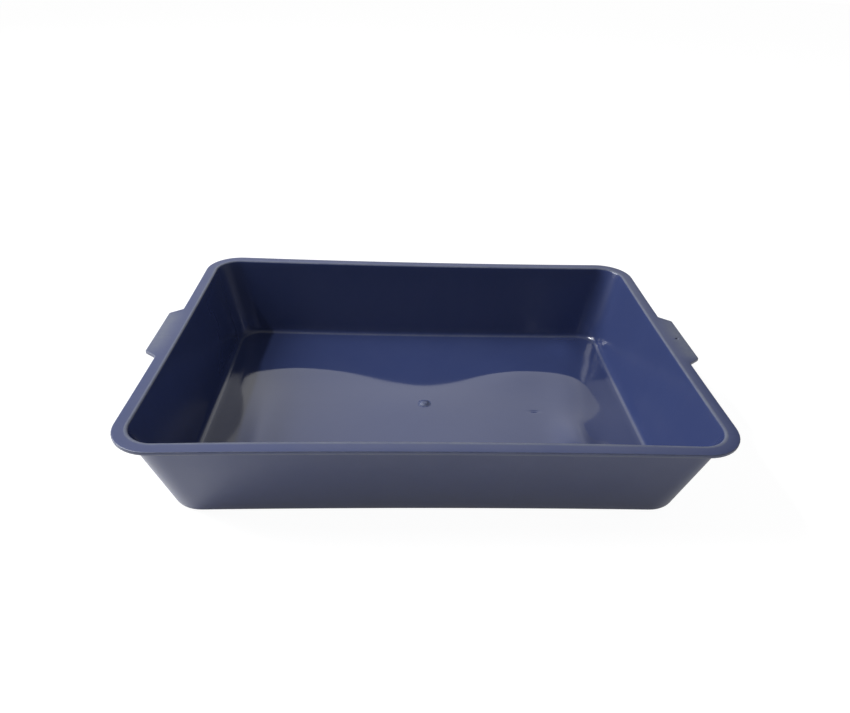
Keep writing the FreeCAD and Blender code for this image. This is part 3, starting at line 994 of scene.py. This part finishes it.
mesh = bpy.data.meshes.new("studio_floor")
mesh.from_pydata([(-FLOOR_HALF, -FLOOR_HALF, 0), (FLOOR_HALF, -FLOOR_HALF, 0),
                  (FLOOR_HALF, FLOOR_HALF, 0), (-FLOOR_HALF, FLOOR_HALF, 0)], [], [(0, 1, 2, 3)])
studio_floor = bpy.data.objects.new("studio_floor", mesh)
bpy.context.scene.collection.objects.link(studio_floor)
paper = bpy.data.materials.new("white_paper")
paper.use_nodes = True
sheet = paper.node_tree
sheet.nodes.clear()
straight, in_mirror = ray_kinds(sheet)
shade = straight * (PAPER_WHITE_SEEN - PAPER_WHITE) + PAPER_WHITE
matte = add_node(sheet, "ShaderNodeBsdfDiffuse", {"Color": join(sheet, shade, shade, shade)})
strength = straight * GLOW_SEEN + in_mirror * GLOW_MIRRORED
glow = add_node(sheet, "ShaderNodeEmission", {"Strength": strength})
both = add_node(sheet, "ShaderNodeAddShader", {0: matte.outputs[0], 1: glow.outputs[0]})
add_node(sheet, "ShaderNodeOutputMaterial", {"Surface": both.outputs[0]})
mesh.materials.append(paper)
print("paper:", 2 * FLOOR_HALF, "m square")

# %% [markdown]
# ## The room that the plastic mirrors
#
# Glossy plastic shows its surroundings, so the room needs some. To a straight view it is plain white.
# What the plastic mirrors is a bright wall beyond the tray, darker to its left and right, lower down
# and overhead, and nothing bright behind the viewer. That is what leaves the inner walls dark and puts
# the pale wavy patch on the floor. High on the left is the top pane of a tall window, which glints in
# the far corner. What lights the plastic is gentler: a little from overhead, a little from the right
# and a little along the ground from the viewer's side.

# %% The world
# the window pane is this many times as bright as white paper
PANE_LEVEL = 6.5

world = bpy.data.worlds.new("studio")
bpy.context.scene.world = world
world.use_nodes = True
room = world.node_tree

# a direction's three numbers run from -1 to 1: left to right, near to far, down to up
look = add_node(room, "ShaderNodeTexCoord").outputs["Generated"]
toward_x, toward_y, toward_z = split(room, look)

# the wall beyond the tray: full in its middle, a quarter less right of it, dark at both ends
beyond = toward_y.ramp(-0.05, 0.35, smooth=True)
middle = 1.0 - toward_x.ramp(0.10, 0.26) * 0.25 - toward_x.ramp(0.33, 0.47) * 0.75
middle = middle * toward_x.ramp(-0.60, -0.20, smooth=True)

# it is bright above a bench and dims towards the ceiling
above_bench = toward_z.ramp(0.30, 0.44, smooth=True)
ceiling = 1.0 - toward_z.ramp(0.66, 0.82, smooth=True) * 0.70
upper = above_bench * (middle + 0.20) * ceiling
lower = (1.0 - above_bench) * (middle * 0.35 + 0.15)

# the side walls are dim, the room behind the viewer is dark, and the pane is high on the left
side = 1.0 - (-1.0 * toward_y).ramp(0.3, 0.6)
pane = band(toward_x, -0.56, 0.10, 0.05) * band(toward_z, 0.78, 0.06, 0.04)
pane = pane * toward_y.ramp(-0.15, -0.05)
mirrored = beyond * (upper + lower) + (1.0 - beyond) * side * 0.18 + pane * PANE_LEVEL

# what lights the plastic
near_ground = 1.0 - toward_z.ramp(0.10, 0.40, smooth=True)
overhead = toward_z.ramp(0.50, 0.95, smooth=True)
from_viewer = (-1.0 * toward_y).ramp(0.0, 0.7) * near_ground
from_right = toward_x.ramp(0.0, 0.8)
fill = from_viewer * 0.38 + overhead * 0.15 + from_right * 0.32 + 0.07

# white to a straight view, the studio to the plastic
straight, in_mirror = ray_kinds(room)
seen_by_plastic = in_mirror * mirrored + (1.0 - in_mirror) * fill
level_of_light = straight + (1.0 - straight) * seen_by_plastic
sky = room.nodes["Background"]
sky.inputs["Color"].default_value = (1.0, 1.0, 1.0, 1.0)
feed(room, sky.inputs["Strength"], level_of_light)
print("world:", len(room.nodes), "nodes")


# %% [markdown]
# ## Three lamps on the left
#
# The main light comes from a window on the left. A lamp of its size would show in the floor as a hard
# white square, so its power is shared: one lamp is hidden from mirror rays, and a wider, paler one
# beside it gives the highlights in the corners. A thin lamp above them throws the crisp shadow of the
# left rim across the floor.

# %% Lamps
def hang_lamp(name, azimuth, elevation, distance, width, height, energy):
    """An area lamp that looks at the tray from a direction given in degrees."""
    lamp = bpy.data.lights.new(name, "AREA")
    lamp.shape = "RECTANGLE"
    lamp.size = width
    lamp.size_y = height
    lamp.energy = energy
    holder = bpy.data.objects.new(name, lamp)
    bpy.context.scene.collection.objects.link(holder)
    turn = math.radians(azimuth)
    rise = math.radians(elevation)
    away = Vector((math.cos(turn) * math.cos(rise), math.sin(turn) * math.cos(rise), math.sin(rise)))
    holder.location = away * distance
    holder.rotation_euler = away.to_track_quat("Z", "Y").to_euler()
    print(f"{name}: {width} by {height} m, {energy} W")
    return holder


hang_lamp("lamp", azimuth=173.0, elevation=52.0, distance=2.0, width=0.80, height=0.05, energy=13.0)
window = hang_lamp("window", azimuth=163.0, elevation=33.0, distance=2.0, width=0.6, height=1.0,
                   energy=24.0)
window.visible_glossy = False
hang_lamp("curtain", azimuth=167.0, elevation=34.0, distance=1.98, width=0.9, height=1.0, energy=24.0)

# %% [markdown]
# ## The viewpoint
#
# The viewer stands in front of the tray, a little left of its middle, and looks down on it from half a
# metre away. From so near, the far side looks clearly narrower than the near one. The direction is kept
# as three angles, because they are easier to read than a matrix.

# %% Camera
CAMERA_PLACE = Vector((-0.02416, -0.46880, 0.32660))
YAW, PITCH, ROLL = (math.radians(angle) for angle in (-3.965, 32.18, -2.793))
FOCAL_LENGTH = 28.68
LENS_SHIFT = (-0.0127, 0.0227)
forward = Vector((-math.sin(YAW) * math.cos(PITCH), math.cos(YAW) * math.cos(PITCH), -math.sin(PITCH)))
level = Vector((math.cos(YAW), math.sin(YAW), 0.0))
down = forward.cross(level)
right = level * math.cos(ROLL) + down * math.sin(ROLL)
down = down * math.cos(ROLL) - level * math.sin(ROLL)
lens = bpy.data.cameras.new("camera")
lens.lens = FOCAL_LENGTH
lens.shift_x = LENS_SHIFT[0]
lens.shift_y = LENS_SHIFT[1]
lens.clip_start = 0.01
camera = bpy.data.objects.new("camera", lens)
bpy.context.scene.collection.objects.link(camera)
axes = Matrix((right, -down, -forward)).transposed()
camera.matrix_world = Matrix.Translation(CAMERA_PLACE) @ axes.to_4x4()
bpy.context.scene.camera = camera
bpy.context.scene.view_settings.view_transform = "Standard"
print("camera:", round(CAMERA_PLACE.length, 3), "m from the middle of the tray's underside")
